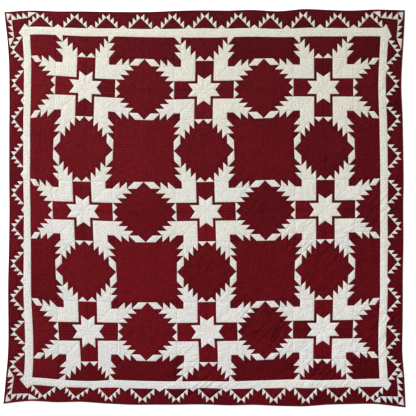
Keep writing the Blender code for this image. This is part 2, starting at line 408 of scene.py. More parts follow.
@dataclass
class ToothedBorder:
    """The border outside the white strip: toothed peaks and a toothed strip round each corner.

    Attributes:
        base_half: Half the base of a red peak.
        height: Height of a red peak.
        valley_half: Half the base of the small white triangle between two peaks.
        valley_height: Its height.
        knee_tip: How far out the teeth reach beside a corner's square.
        crown: How far out they reach at the other end of a corner's strip.
        teeth: Number of teeth on a slope, and in a corner's strip on each side.
    """

    base_half: float = 0.0552
    height: float = 0.0501
    valley_half: float = 0.020
    valley_height: float = 0.0155
    knee_tip: float = 0.0662
    crown: float = 0.0692
    teeth: int = 3

    @property
    def reach(self) -> float:
        """How far out the border's face goes, to the binding."""
        return BORDER - BINDING

    @property
    def tip(self) -> float:
        """How far out the teeth reach."""
        return self.height * (1 + 1 / self.teeth)

    def outer_foot(self) -> tuple[float, float]:
        """Where the lowest tooth's far corner is, from a peak's axis and the strip."""
        return self.base_half * (1 + 1 / self.teeth), self.height / self.teeth

    def peak(self, side: Side, middle: float) -> list[Patch]:
        """One red peak with its white and red teeth.

        Args:
            side: The side that it stands on.
            middle: The place of its axis along the side.

        Returns:
            Its patches.
        """
        base, height = self.base_half, self.height
        step, rise = base / self.teeth, height / self.teeth
        ground = side.place(middle + np.array((-base, base, 0)), np.array((0, 0, height)))
        found = [patch(Cloth.RED, ground, side.way)]
        for sign in (-1, 1):
            for tooth in range(self.teeth):
                low, high = base - tooth * step, tooth * rise
                across = middle + sign * np.array((low, low - step, low, low + step))
                out = high + np.array((0, rise, 2 * rise, rise))
                corners = side.place(across, out)
                found.append(patch(Cloth.WHITE, corners[[0, 1, 2]]))
                found.append(patch(Cloth.RED, corners[[0, 3, 2]]))
        return found

    def ground(self, side: Side, middle: float, sign: int, half: float) -> list[Points]:
        """Convex cells of the red cloth on one side of a peak, up to halfway to the next."""
        step, rise = self.base_half / self.teeth, self.height / self.teeth
        foot, far = self.outer_foot()
        shapes = (
            ((self.base_half, 0), (half - self.valley_half, 0), (half, self.valley_height),
             (half, rise), (foot, far)),
            ((foot, far), (half, rise), (half, self.reach), (step, self.reach), (step, self.tip)),
            ((0, self.height), (step, self.tip), (step, self.reach), (0, self.reach)),
        )
        return [
            side.place(middle + sign * np.array(shape)[:, 0], np.array(shape)[:, 1])
            for shape in shapes
        ]

    def valley(self, side: Side, left: float, right: float) -> list[Patch]:
        """The cloth between two peaks: red, with a small white triangle on the strip."""
        middle, half = (left + right) / 2, (right - left) / 2
        cells = self.ground(side, left, 1, half) + self.ground(side, right, -1, half)
        step, (foot, far) = self.base_half / self.teeth, self.outer_foot()
        rim = np.array(
            (
                (0, self.height), (step, self.tip), (foot, far), (self.base_half, 0),
                (half - self.valley_half, 0), (half, self.valley_height),
            )
        )
        back = (rim * (-1, 1) + (2 * half, 0))[::-1][1:]
        top = np.array(((2 * half, self.reach), (0, self.reach)))
        rim = np.vstack([rim, back, top])
        outline = turned_left(side.place(left + rim[:, 0], rim[:, 1]))
        small = side.place(
            middle + self.valley_half * np.array((-1, 1, 0)),
            np.array((0, 0, self.valley_height)),
        )
        red = Patch(Cloth.RED, outline, tuple(turned_left(cell) for cell in cells), side.way)
        return [red, patch(Cloth.WHITE, small)]

    def corner(self, across: Side, upright: Side) -> list[Patch]:
        """The toothed strips round one corner, and the cloth inside them.

        Each strip's teeth share out its length evenly, between the line of their bases and
        the line of their tips. Places are first worked out along the strip and outwards,
        from the white strip's corner.

        Args:
            across: The top or bottom side.
            upright: The left or right side.

        Returns:
            Its patches.
        """
        signs = np.array((upright.value[1], across.value[1]))
        edge = np.array((across.corner, upright.corner))
        knee, *ends = np.array(CORNER_TEETH) * MM
        heel = signs * edge
        found: list[Patch] = []
        inside, blank = [signs * (edge + knee)], [heel]
        for side, turn, end in ((across, 1, ends[0]), (upright, -1, ends[1])):

            def put(shape: Iterable, way: int = turn) -> Points:
                """Places in the even layout."""
                return signs * (edge + np.array(list(shape), float)[:, ::way])

            sign = signs[0] if turn > 0 else signs[1]
            axis = sign * side.peaks[-1 if sign > 0 else 0] - side.corner
            peak = axis + self.base_half / self.teeth
            foot, rise = self.outer_foot()
            share = np.linspace(0, 1, self.teeth + 1)[:, None]
            base = knee[::turn] + (end[::turn] - knee[::turn]) * share
            tips = np.column_stack([base[:, 0], self.knee_tip + (self.crown - self.knee_tip) * share])
            for tooth in range(self.teeth):
                here, there = slice(tooth, tooth + 1), slice(tooth + 1, tooth + 2)
                found.append(patch(Cloth.WHITE, put(np.vstack([tips[here], base[here], base[there]]))))
                found.append(patch(Cloth.RED, put(np.vstack([tips[here], base[there], tips[there]]))))
            last = (peak, self.tip)
            found.append(patch(Cloth.WHITE, put((tips[-1], base[-1], last))))
            rim = ((axis, self.height), (axis, self.reach), (peak, self.reach), last)
            found.append(patch(Cloth.RED, put(rim)))
            crown = (self.crown, self.crown)
            marks = np.array((last, tips[-1], tips[0], crown))
            outer = np.column_stack([marks[:, 0], np.full(4, self.reach)])
            outer[-1, 0] = self.reach
            cells = tuple(
                turned_left(put((marks[k], marks[k + 1], outer[k + 1], outer[k]))) for k in range(3)
            )
            outline = turned_left(put(np.vstack([marks, outer[::-1]])))
            found.append(Patch(Cloth.RED, outline, cells))
            inside.append(put((base[-1], last, (axis + foot, rise))))
            blank.append(put(((axis + self.base_half, 0), (axis + foot, rise))))
        square = signs * (edge + np.array(
            (knee, (knee[0], self.knee_tip), (self.crown, self.crown), (self.knee_tip, knee[1]))
        ))
        found.append(patch(Cloth.WHITE, square[[1, 2, 3]]))
        found.append(patch(Cloth.RED, square[[0, 1, 3]]))
        corner, (end_a, last_a, apex_a), (end_b, last_b, apex_b) = inside
        foot_a, foot_b = blank[1][0], blank[2][0]
        red = (corner, end_a, last_a, apex_a, apex_b, last_b, end_b)
        red_cells = (
            (corner, end_a, apex_a), (end_a, last_a, apex_a), (corner, apex_a, apex_b),
            (corner, apex_b, end_b), (end_b, apex_b, last_b),
        )
        white = (heel, foot_a, apex_a, apex_b, foot_b)
        white_cells = ((heel, foot_a, apex_a), (heel, apex_a, apex_b), (heel, apex_b, foot_b))
        diagonal = tuple(apex_b - apex_a)
        for cloth, outline, parts in (
            (Cloth.RED, red, red_cells), (Cloth.WHITE, white, white_cells)
        ):
            parts = tuple(turned_left(np.array(part)) for part in parts)
            found.append(Patch(cloth, turned_left(np.array(outline)), parts, diagonal))
        return found

    def patches(self, side: Side) -> list[Patch]:
        """The peaks and valleys along one side."""
        places = side.peaks
        found = [one for place in places for one in self.peak(side, place)]
        for left, right in zip(places[:-1], places[1:]):
            found += self.valley(side, left, right)
        return found


@dataclass
class WhiteStrip:
    """The plain white strip round the nine stars, in four butted lengths."""

    width: float = STRIP

    def patches(self) -> list[Patch]:
        """The four lengths, those at the top and bottom running over the others' ends."""
        right, top = HALF_WIDTH - BORDER, HALF_LENGTH - BORDER
        side, inner = right - self.width, top - self.width
        across = np.array(((-right, inner), (right, inner), (right, top), (-right, top)))
        upright = np.array(((side, -inner), (right, -inner), (right, inner), (side, inner)))
        found = []
        for sign in (1, -1):
            found.append(patch(Cloth.WHITE, across * (1, sign), (1, 0)))
            found.append(patch(Cloth.WHITE, upright * (sign, 1), (0, 1)))
        return found


class LaidShape:
    """The smooth move from the even layout to where the hand-made quilt has each point.

    It is a thin plate held at the ties: for ties t and weights w, a point p moves by
    the sum of w r^2 log r^2, with r its distance from t, and by a linear part.
    """

    def __init__(self) -> None:
        """Solve the plate's weights, and find the middle of the quilt's box."""
        middle = BORDER + STRIP / 2
        ties = self.along_sides(HALF_WIDTH, HALF_LENGTH, EDGE_STRAY)
        ties.update(self.along_sides(HALF_WIDTH - middle, HALF_LENGTH - middle, STRIP_STRAY))
        for star, (right, up, fall, lean) in STAR_STRAY.items():
            for end in ARM_ENDS:
                place = np.array(star) * 2 * BLOCK_HALF + np.array(end) * (CROSS_REACH + BAND)
                ties[tuple(place)] = [(right - lean * end[1]) * MM, (up - fall * end[0]) * MM]
        self.held = np.array(list(ties))
        flat = np.hstack([np.ones((len(ties), 1)), self.held])
        plate = np.vstack([
            np.hstack([self.spread(self.held), flat]),
            np.hstack([flat.T, np.zeros((3, 3))]),
        ])
        moves = np.vstack([np.array(list(ties.values())), np.zeros((3, 2))])
        self.weights = np.linalg.solve(plate, moves)
        self.middle = np.zeros(2)
        rim = self(self.rim())
        self.middle = (rim.min(axis=0) + rim.max(axis=0)) / 2

    @staticmethod
    def along_sides(half_width: float, half_length: float, stray: dict) -> dict:
        """Ties at even steps along the four sides of a rectangle.

        Args:
            half_width: Half the rectangle's width.
            half_length: Half its length.
            stray: Outward moves in millimetres, by side.

        Returns:
            The move, right and up, at each tie.
        """
        ties: dict = {}
        steps = np.linspace(-1, 1, len(stray["top"]))
        for name, sign in (("top", 1), ("bottom", -1)):
            for x, out in zip(steps, stray[name]):
                ties[(x * half_width, sign * half_length)] = [0.0, sign * out * MM]
        for name, sign in (("right", 1), ("left", -1)):
            for y, out in zip(-steps, stray[name]):
                tie = ties.setdefault((sign * half_width, y * half_length), [0.0, 0.0])
                tie[0] = sign * out * MM
        return ties

    @staticmethod
    def rim(steps: int = 400) -> Points:
        """Points all round the quilt's edge in the even layout."""
        run = np.linspace(-1, 1, steps)
        one = np.ones(steps)
        sides = [(run, one), (run, -one), (one, run), (-one, run)]
        return np.vstack([np.column_stack(side) for side in sides]) * (HALF_WIDTH, HALF_LENGTH)

    def spread(self, points: Points) -> Points:
        """The plate's kernel, r^2 log r^2, from each point to each tie."""
        squared = ((points[:, None, :] - self.held[None, :, :]) ** 2).sum(axis=2)
        return squared * np.log(np.where(squared > 0, squared, 1))

    def __call__(self, points: Points) -> Points:
        """Move points of the even layout to the laid quilt.

        Args:
            points: Points of the even layout, shape (n, 2).

        Returns:
            Their places, with the quilt's box in the middle.
        """
        linear = np.hstack([np.ones((len(points), 1)), points])
        moved = np.hstack([self.spread(points), linear]) @ self.weights
        return points + moved - self.middle


@dataclass
class Relief:
    """The quilt's height over its even layout.

    Attributes:
        seam: Height at the seams, where the stitches draw the layers together.
        puff: How much the batting lifts a patch inside its seams.
        channel: How much more it lifts the cloth between two quilting lines.
        ease: How quickly the cloth rises from a seam.
        swell: Slow unevenness of the batting.
        crumple: Soft wrinkles a few centimetres long.
        wrinkle: Height of the long slanting wrinkles, where the cloth was pulled askew.
        wrinkle_cell: Width of one of them.
        least: How much it lifts the cloth at the least, away from the seams.
        swell_cell: Width of one swell.
        crumple_cells: Widths of the short and the long crumples.
        loft_cell: Width of a place where the quilting is equally full.
        bend: How far the long wrinkles bend aside.
        bend_cell: Length of one bend.
        steep_cell: Width of a place where the wrinkles slant alike.
        share_cell: Width of a place that is equally wrinkled.
        calm_edge: Width beside the binding in which the wrinkles fade out.
        seed: Sets the unevenness.
    """

    seam: float = 0.0030
    puff: float = 0.0008
    channel: float = 0.0008
    ease: float = 0.0045
    swell: float = 0.00035
    crumple: float = 0.00068
    wrinkle: float = 0.0034
    wrinkle_cell: float = 0.0180
    least: float = 0.0001
    swell_cell: float = 0.21
    crumple_cells: tuple[float, float] = (0.017, 0.045)
    loft_cell: float = 0.055
    bend: float = 0.005
    bend_cell: float = 0.048
    steep_cell: float = 0.15
    share_cell: float = 0.11
    calm_edge: float = 0.030
    seed: int = 11

    def lattice(self, points: Points, cell: float, seed: int) -> Points:
        """Smooth noise from -1 to 1: random values on a lattice, eased between.

        Args:
            points: Where to read it, shape (n, 2).
            cell: Size of the lattice.
            seed: Which noise.

        Returns:
            Its value at each point.
        """
        values = np.random.default_rng(self.seed + seed).uniform(-1, 1, (256, 256))
        place = points / cell + 64.0
        low = np.floor(place).astype(int)
        share = place - low
        share = share * share * (3 - 2 * share)
        x0, y0 = low[:, 0] % 256, low[:, 1] % 256
        x1, y1 = (x0 + 1) % 256, (y0 + 1) % 256
        under = values[x0, y0] * (1 - share[:, 0]) + values[x1, y0] * share[:, 0]
        over = values[x0, y1] * (1 - share[:, 0]) + values[x1, y1] * share[:, 0]
        return under * (1 - share[:, 1]) + over * share[:, 1]

    def ground(self, points: Points) -> Points:
        """Height of the seams over the floor: the seam's height and the slow swell."""
        return self.seam + self.swell * self.lattice(points, self.swell_cell, 1)

    def wrinkles(self, points: Points) -> tuple[Points, Points]:
        """Long slanting wrinkles, which run from lower left to upper right.

        Their valleys are where a noise stretched along the slant passes through 0, and a
        slow noise bends them. The steep ones are mostly between the stars, and the flat
        ones across them. Their share grows to the right and downwards, varies from place to
        place, is small in the big squares and the stars, and falls to nothing at the binding.

        Args:
            points: Points of the even layout.

        Returns:
            How far the cloth stands up between the valleys, and how deep in one it lies,
            both from 0 to 1.
        """
        bend = np.column_stack([self.lattice(points, self.bend_cell, seed) for seed in (12, 13)])
        wave = np.cos(points * math.pi / BLOCK_HALF)
        drift = self.lattice(points, self.steep_cell, 15)
        steep = np.clip(0.45 - 0.8 * wave[:, 0] * wave[:, 1] + 0.6 * drift, 0, 1)
        share = np.clip((points @ (0.7, -0.6) - 0.02) / 0.36, 0.08, 1)
        share = share * np.clip(0.80 + 0.7 * self.lattice(points, self.share_cell, 6), 0.20, 1)
        share = share * (1 - 0.2 * (1 - wave[:, 0]) * (1 - wave[:, 1]))
        share = share * (1 - 0.05 * (1 + wave[:, 0]) ** 2 * (1 + wave[:, 1]) ** 2)
        inside = np.minimum(HALF_WIDTH - np.abs(points[:, 0]), HALF_LENGTH - np.abs(points[:, 1]))
        edge = np.clip((inside - BINDING) / self.calm_edge, 0, 1)
        share = share * edge * edge * (3 - 2 * edge)
        crest, valley = np.zeros(len(points)), np.zeros(len(points))
        for seed, (a, b), part in ((5, (0.76, 0.65), steep), (10, (0.42, 0.91), 1 - steep)):
            slant = (points + self.bend * bend) @ np.array(((a, b), (-b, a)))
            broad = self.lattice(slant * (1, 0.15), self.wrinkle_cell, seed)
            finer = self.lattice(slant * (1, 0.24), 0.55 * self.wrinkle_cell, seed + 4)
            away = np.abs(broad + 0.35 * finer)
            crest += part * np.clip(away / 0.45, 0, 1) ** 0.7
            valley += part * np.clip(1 - away / 0.26, 0, 1)
        return share * crest, share * valley

    def height(
        self, points: Points, inset: Points, channels: Points, depth: Points, loft: float
    ) -> Points:
        """Height of the face.

        Args:
            points: Points of the even layout.
            inset: Each point's distance from its patch's seam.
            channels: Its place across the quilting, a whole number on each line.
            depth: How strongly the quilting lines show there.
            loft: How strongly the cloth shows the batting under it.

        Returns:
            Its height above the floor.
        """
        rise = 1 - np.exp(-inset / self.ease)
        ridge = np.abs(np.sin(math.pi * channels)) ** 0.8
        ridge = ridge * depth * np.clip(0.75 + 0.6 * self.lattice(points, self.loft_cell, 8), 0.2, 1.3)
        turned = points @ np.array(((0.8, -0.6), (0.6, 0.8)))
        short, long = self.crumple_cells
        crumple = self.lattice(turned * (1, 0.5), short, 2) + self.lattice(points, long, 3)
        lift = loft * (self.puff + self.channel * ridge + self.crumple * crumple)
        lift = rise * np.maximum(lift, self.least)
        wrinkled = self.wrinkle * self.wrinkles(points)[0] * (0.6 + 0.4 * loft * rise)
        return self.ground(points) + lift + wrinkled


def from_seam(points: Points, outline: Points) -> Points:
    """Distance of each point from the nearest side of an outline.

    Args:
        points: Shape (n, 2).
        outline: The outline's corners, in order.

    Returns:
        The distances, shape (n,).
    """
    start, way = outline, np.roll(outline, -1, axis=0) - outline
    length = np.maximum((way**2).sum(axis=1), 1e-18)
    gap = points[:, None, :] - start[None]
    share = np.clip((gap * way[None]).sum(axis=2) / length, 0, 1)
    away = gap - share[..., None] * way[None]
    return np.sqrt((away**2).sum(axis=2)).min(axis=1)


@dataclass
class PatchGrid:
    """Turns patches into grids: columns along the quilting lines, cut by the patch's edges.

    Attributes:
        channel: Distance between quilting lines.
        fine: Number of columns in one channel.
        along: Longest step along a column.
        plain: Step across a patch without quilting lines.
        rim: Distance of the first and last steps from the patch's edge.
    """

    channel: float = 0.013
    fine: int = 4
    along: float = 0.0065
    plain: float = 0.0062
    rim: float = 0.003

    def run_of(self, whole: Patch) -> Points:
        """The way a patch's columns run: along its quilting lines, or across its longest side."""
        if whole.lines is None:
            sides = np.roll(whole.outline, -1, axis=0) - whole.outline
            longest = sides[int(np.argmax((sides**2).sum(axis=1)))]
            run = np.array((-longest[1], longest[0]))
        else:
            run = np.array(whole.lines, float)
        return run / np.linalg.norm(run)

    def marks(self, low: float, high: float, quilted: bool) -> tuple[Points, float]:
        """Places of the columns over a whole patch.

        Args:
            low: Where the patch begins, across its lines.
            high: Where it ends.
            quilted: Whether lines run over it.

        Returns:
            The columns' places, and the width of one channel.
        """
        width = high - low
        if quilted:
            channels = max(1, round(width / self.channel))
            places = np.linspace(low, high, channels * self.fine + 1)
        else:
            channels = 1
            places = np.linspace(low, high, max(3, math.ceil(width / self.plain)) + 1)
        if width > 6 * self.rim:
            places = np.append(places, (low + self.rim, high - self.rim))
        return np.sort(places), width / channels

    def steps(self, longest: float) -> Points:
        """Shares of a column's length, finer at its two ends."""
        shares = np.linspace(0, 1, max(2, math.ceil(longest / self.along)) + 1)
        if longest > 5 * self.rim:
            edge = self.rim / longest
            shares = np.unique(np.append(shares, (edge, 1 - edge)))
        return shares

    def cell(self, corners: Points, run: Points, marks: Points) -> tuple[Points, Points]:
        """A grid over one convex cell.

        A column at c across the lines runs from the lowest to the highest point at which
        the cell's sides cross it, and each step is a share of that run.

        Args:
            corners: The cell's corners.
            run: The way its columns run.
            marks: Places of the patch's columns.

        Returns:
            The grid's points, shape (columns, steps, 2), and their places across and along.
        """
        over = np.array((run[1], -run[0]))
        across, along = corners @ over, corners @ run
        near = np.abs(marks[:, None] - across[None]).min(axis=1)
        inside = (marks > across.min()) & (marks < across.max()) & (near > 0.8 * MM)
        places = np.unique(np.round(np.concatenate([across, marks[inside]]), 8))
        places = places[np.concatenate([[True], np.diff(places) > 0.01 * MM])]
        step = np.roll(across, -1) - across
        step = np.where(np.abs(step) < 1e-9, np.nan, step)
        share = (places[:, None] - across[None]) / step[None]
        hit = (share > -1e-4) & (share < 1 + 1e-4)
        level = along + np.clip(share, 0, 1) * (np.roll(along, -1) - along)
        low = np.where(hit, level, np.inf).min(axis=1)
        high = np.where(hit, level, -np.inf).max(axis=1)
        shares = self.steps(float((high - low).max()))
        length = low[:, None] + (high - low)[:, None] * shares[None]
        points = places[:, None, None] * over + length[..., None] * run
        return points, np.stack([np.broadcast_to(places[:, None], length.shape), length], -1)


def grid_faces(rows: int, columns: int, closed: bool = False) -> Points:
    """Corners of the faces between a grid's points, in order.

    Args:
        rows: Number of rows of points.
        columns: Number of points in a row.
        closed: Whether a row's last point joins its first.

    Returns:
        Indices, shape (faces, 4).
    """
    index = np.arange(rows * columns).reshape(rows, columns)
    if closed:
        index = np.column_stack([index, index[:, 0]])
    corners = (index[:-1, :-1], index[1:, :-1], index[1:, 1:], index[:-1, 1:])
    return np.stack(corners, axis=-1).reshape(-1, 4)


@dataclass
class Surface:
    """Points and faces on the way to a mesh, with one value of each attribute a point.

    Attributes:
        points: Shape (n, 3).
        faces: Corners of each face, shape (m, 4).
        groups: Points are merged only with points of the same group.
        floats: Single values, by name.
        maps: UV maps, by name.
    """

    points: Points
    faces: Points
    groups: Points
    floats: dict[str, Points] = field(default_factory=dict)
    maps: dict[str, Points] = field(default_factory=dict)

    def mesh(self, name: str) -> bpy.types.Object:
        """Merge points that meet, drop what folds up, and make the object.

        A quad whose corners meet in a pair becomes a triangle, and one that folds up
        further is dropped, so that poles close.

        Args:
            name: The piece's name.

        Returns:
            The object, linked to the scene.
        """
        keys = np.column_stack([np.round(self.points / (0.02 * MM)), self.groups])
        _, first, same = np.unique(
            keys.astype(np.int64), axis=0, return_index=True, return_inverse=True
        )
        faces = first[same.ravel()][self.faces]
        differs = faces != np.roll(faces, -1, axis=1)
        corners = differs.sum(axis=1)
        folded = (faces[:, 0] == faces[:, 2]) | (faces[:, 1] == faces[:, 3])
        corners = np.where(folded, 0, corners)
        loops = [faces[corners == size][differs[corners == size]] for size in (4, 3)]
        sizes = np.repeat((4, 3), [int((corners == size).sum()) for size in (4, 3)])
        used, loop = np.unique(np.concatenate(loops), return_inverse=True)
        mesh = bpy.data.meshes.new(name)
        mesh.vertices.add(len(used))
        mesh.vertices.foreach_set("co", self.points[used].astype(np.float32).ravel())
        mesh.loops.add(len(loop))
        mesh.loops.foreach_set("vertex_index", loop.astype(np.int32))
        mesh.polygons.add(len(sizes))
        starts = np.concatenate([[0], np.cumsum(sizes)[:-1]])
        mesh.polygons.foreach_set("loop_start", starts.astype(np.int32))
        mesh.polygons.foreach_set("use_smooth", np.ones(len(sizes), bool))
        mesh.update(calc_edges=True)
        for key, values in self.maps.items():
            layer = mesh.uv_layers.new(name=key)
            layer.data.foreach_set("uv", values[used][loop].astype(np.float32).ravel())
        for key, values in self.floats.items():
            layer = mesh.attributes.new(key, "FLOAT", "POINT")
            layer.data.foreach_set("value", values[used].astype(np.float32))
        mesh.validate()
        piece = bpy.data.objects.new(name, mesh)
        bpy.context.scene.collection.objects.link(piece)
        return piece


@dataclass
class Patchwork:
    """Turns patches into pieces of the laid quilt's face.

    Attributes:
        laid: Where each point of the even layout lies.
        relief: The face's height.
        grid: How patches are divided.
        shade_cell: Patches about this far apart have shades of their own.
        shades: Sets those shades, which differ the most between patches with quilting lines.
        quilted_shade: How much more the shades of patches with quilting lines differ.
        border_shade: How much darker the border's patches are.
        corner_shade: How much of that is added at the border's lower right corner.
        corner_start: How far to the right and down, together, that begins.
        corner_width: How much further on it is whole.
        cut_apart: How far apart on the cloth one patch is cut from the next.
        white_loft: The loft of the white cloth, which is the flatter.
    """

    laid: LaidShape
    relief: Relief = field(default_factory=Relief)
    grid: PatchGrid = field(default_factory=PatchGrid)
    shade_cell: float = 0.023
    shades: int = 1224
    quilted_shade: float = 1.6
    border_shade: float = 1.2
    corner_shade: float = 1.8
    corner_start: float = 1.35
    corner_width: float = 0.45
    cut_apart: float = 0.37
    white_loft: float = 0.75

    def surface(self, patches: list[Patch]) -> Surface:
        """One surface of several patches, parted at their seams.

        Args:
            patches: The patches, of one cloth, in the even layout.

        Returns:
            Their surface, laid and raised, with its attributes and maps.
        """
        kinds: dict[str, list[Points]] = {
            key: []
            for key in ("even", "inset", "channel", "depth", "tone", "cloth", "group", "faces")
        }
        count = 0
        for number, one in enumerate(patches):
            run = self.grid.run_of(one)
            outline = one.outline @ np.array((run[1], -run[0]))
            low, high = outline.min(), outline.max()
            marks, width = self.grid.marks(low, high, one.lines is not None)
            tone = self.tone(one)
            shift = self.cut_apart * number
            for corners in one.cells:
                points, cloth = self.grid.cell(corners, run, marks)
                flat = points.reshape(-1, 2)
                size = len(flat)
                across = cloth.reshape(-1, 2)[:, 0] - low
                line = across / width if one.lines is not None else np.full(size, 0.5)
                kinds["even"].append(flat)
                kinds["inset"].append(from_seam(flat, one.outline))
                kinds["channel"].append(line)
                kinds["depth"].append(np.full(size, one.depth))
                kinds["tone"].append(np.full(size, tone))
                kinds["cloth"].append(cloth.reshape(-1, 2) + shift)
                kinds["group"].append(np.full(size, number))
                kinds["faces"].append(grid_faces(*points.shape[:2]) + count)
                count += size
        whole = {key: np.concatenate(values) for key, values in kinds.items()}
        even = whole["even"]
        loft = 1.0 if patches[0].cloth is Cloth.RED else self.white_loft
        height = self.relief.height(even, whole["inset"], whole["channel"], whole["depth"], loft)
        low, high = even.min(axis=0), even.max(axis=0)
        return Surface(
            np.column_stack([self.laid(even), height]),
            whole["faces"],
            whole["group"],
            {
                "inset": whole["inset"], "channel": whole["channel"], "depth": whole["depth"],
                "tone": whole["tone"],
                "fold": self.fold_distance(even), "valley": self.relief.wrinkles(even)[1],
            },
            {"OFBake": 0.01 + 0.98 * (even - low) / (high - low), "cloth": whole["cloth"]},
        )

    def tone(self, one: Patch) -> float:
        """A patch's shade: drawn for its heart, and darker in the border.

        The border is darkest at its lower right corner, where the quilt lay most in shade.

        Args:
            one: The patch, in the even layout.

        Returns:
            Its shade, mostly from -2 to 2, higher where it is lighter.
        """
        place = one.shade_place
        tone = float(self.relief.lattice(place[None], self.shade_cell, self.shades)[0])
        tone *= 1.0 if one.lines is None else self.quilted_shade
        outside = np.abs(place) - (HALF_WIDTH - BORDER, HALF_LENGTH - BORDER)
        if outside.max() > 0:
            past = (place[0] - place[1] - self.corner_start) / self.corner_width
            tone -= self.border_shade * (1 + self.corner_shade * float(np.clip(past, 0, 1)))
        return tone

    @staticmethod
    def fold_distance(even: Points) -> Points:
        """Distance to the nearest line through the stars' middles, along which it was folded."""
        away = np.abs((even + BLOCK_HALF) % (2 * BLOCK_HALF) - BLOCK_HALF)
        return away.min(axis=1)

    def pieces(self, name: str, patches: list[Patch], finishes: dict) -> list[bpy.types.Object]:
        """Make one piece of each cloth that a set of patches has, and dress it.

        Args:
            name: What the pieces are of.
            patches: The patches.
            finishes: The material of each cloth.

        Returns:
            The pieces, which ride on the quilt.
        """
        made = []
        for cloth in Cloth:
            chosen = [one for one in patches if one.cloth is cloth]
            if not chosen:
                continue
            piece = self.surface(chosen).mesh(f"{name}_{cloth.name.lower()}")
            settle(piece, finishes[cloth], patches=len(chosen))
            made.append(piece)
        return made


def settle(
    piece: bpy.types.Object,
    finish: bpy.types.Material,
    node: str | None = None,
    patches: int = 0,
) -> None:
    """Give a piece its cloth, let it ride on the quilt, and log its size.

    Args:
        piece: The piece.
        finish: Its material.
        node: The CAD node that it stands for, if there is one.
        patches: How many patches it has, if it is patchwork.
    """
    piece.data.materials.append(finish)
    if node is not None:
        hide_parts(node)
    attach(piece, ROOT)
    triangles = sum(len(face.vertices) - 2 for face in piece.data.polygons)
    log.info("%s: %d patches, %d triangles", piece.name, patches, triangles)


class Graph:
    """Short ways to add and join shader nodes in one node tree."""

    def __init__(self, tree: bpy.types.NodeTree) -> None:
        """Keep the tree that nodes are added to."""
        self.tree = tree

    def node(self, kind: str, **settings: object) -> bpy.types.Node:
        """Add a node of a kind, with its settings."""
        made = self.tree.nodes.new(kind)
        for key, value in settings.items():
            setattr(made, key, value)
        return made

    def join(self, source: Source, target: bpy.types.NodeSocket) -> None:
        """Feed a socket from another socket, or set it to a value."""
        if isinstance(source, bpy.types.NodeSocket):
            self.tree.links.new(source, target)
        else:
            target.default_value = source

    def math(self, operation: str, *sources: Source, clamp: bool = False) -> bpy.types.NodeSocket:
        """Add a Math node and return its result."""
        made = self.node("ShaderNodeMath", operation=operation, use_clamp=clamp)
        for source, target in zip(sources, made.inputs):
            self.join(source, target)
        return made.outputs[0]

    def stretched(self, vector: Source, scale: tuple[float, float, float]) -> bpy.types.NodeSocket:
        """Scale a vector along each axis."""
        made = self.node("ShaderNodeVectorMath", operation="MULTIPLY")
        self.join(vector, made.inputs[0])
        made.inputs[1].default_value = scale
        return made.outputs[0]

    def noise(self, vector: Source, scale: float, detail: float = 2.0) -> bpy.types.NodeSocket:
        """Add a noise from about 0 to 1 and return it."""
        made = self.node("ShaderNodeTexNoise")
        self.join(vector, made.inputs["Vector"])
        made.inputs["Scale"].default_value = scale
        made.inputs["Detail"].default_value = detail
        return made.outputs["Fac"]

    def parts(self, vector: Source) -> dict[str, bpy.types.NodeSocket]:
        """Part a vector into X, Y and Z."""
        made = self.node("ShaderNodeSeparateXYZ")
        self.join(vector, made.inputs[0])
        return {socket.name: socket for socket in made.outputs}

    def dot(self, one: Source, other: Source) -> bpy.types.NodeSocket:
        """Add the dot product of two vectors and return it."""
        made = self.node("ShaderNodeVectorMath", operation="DOT_PRODUCT")
        for source, target in zip((one, other), made.inputs):
            self.join(source, target)
        return made.outputs["Value"]

    def mix(self, share: Source, first: Source, second: Source) -> bpy.types.NodeSocket:
        """Mix two colours, all of the second where the share is 1."""
        made = self.node("ShaderNodeMix", data_type="RGBA")
        for key, source in (("Factor", share), ("A", first), ("B", second)):
            self.join(source, made.inputs[key])
        return made.outputs["Result"]

    def group(self, tree: bpy.types.NodeTree, **sources: Source) -> bpy.types.Node:
        """Place a node group. An underscore in a source's name stands for a space."""
        made = self.node("ShaderNodeGroup", node_tree=tree)
        for key, source in sources.items():
            self.join(source, made.inputs[key.replace("_", " ")])
        return made

    def attribute(self, name: str) -> bpy.types.NodeSocket:
        """Read a single value that the mesh holds at its points."""
        return self.node("ShaderNodeAttribute", attribute_name=name).outputs["Fac"]


def new_group(
    name: str, inputs: dict[str, str], outputs: dict[str, str]
) -> tuple[Graph, bpy.types.Node, bpy.types.Node]:
    """Start a shader node group with named sockets.

    Args:
        name: The group's name.
        inputs: The kind of each input: Float, Vector or Color.
        outputs: The kind of each output.

    Returns:
        Its graph, its input node and its output node.
    """
    tree = bpy.data.node_groups.new(name, "ShaderNodeTree")
    for sockets, way in ((inputs, "INPUT"), (outputs, "OUTPUT")):
        for key, kind in sockets.items():
            tree.interface.new_socket(key, in_out=way, socket_type=f"NodeSocket{kind}")
    graph = Graph(tree)
    return graph, graph.node("NodeGroupInput"), graph.node("NodeGroupOutput")


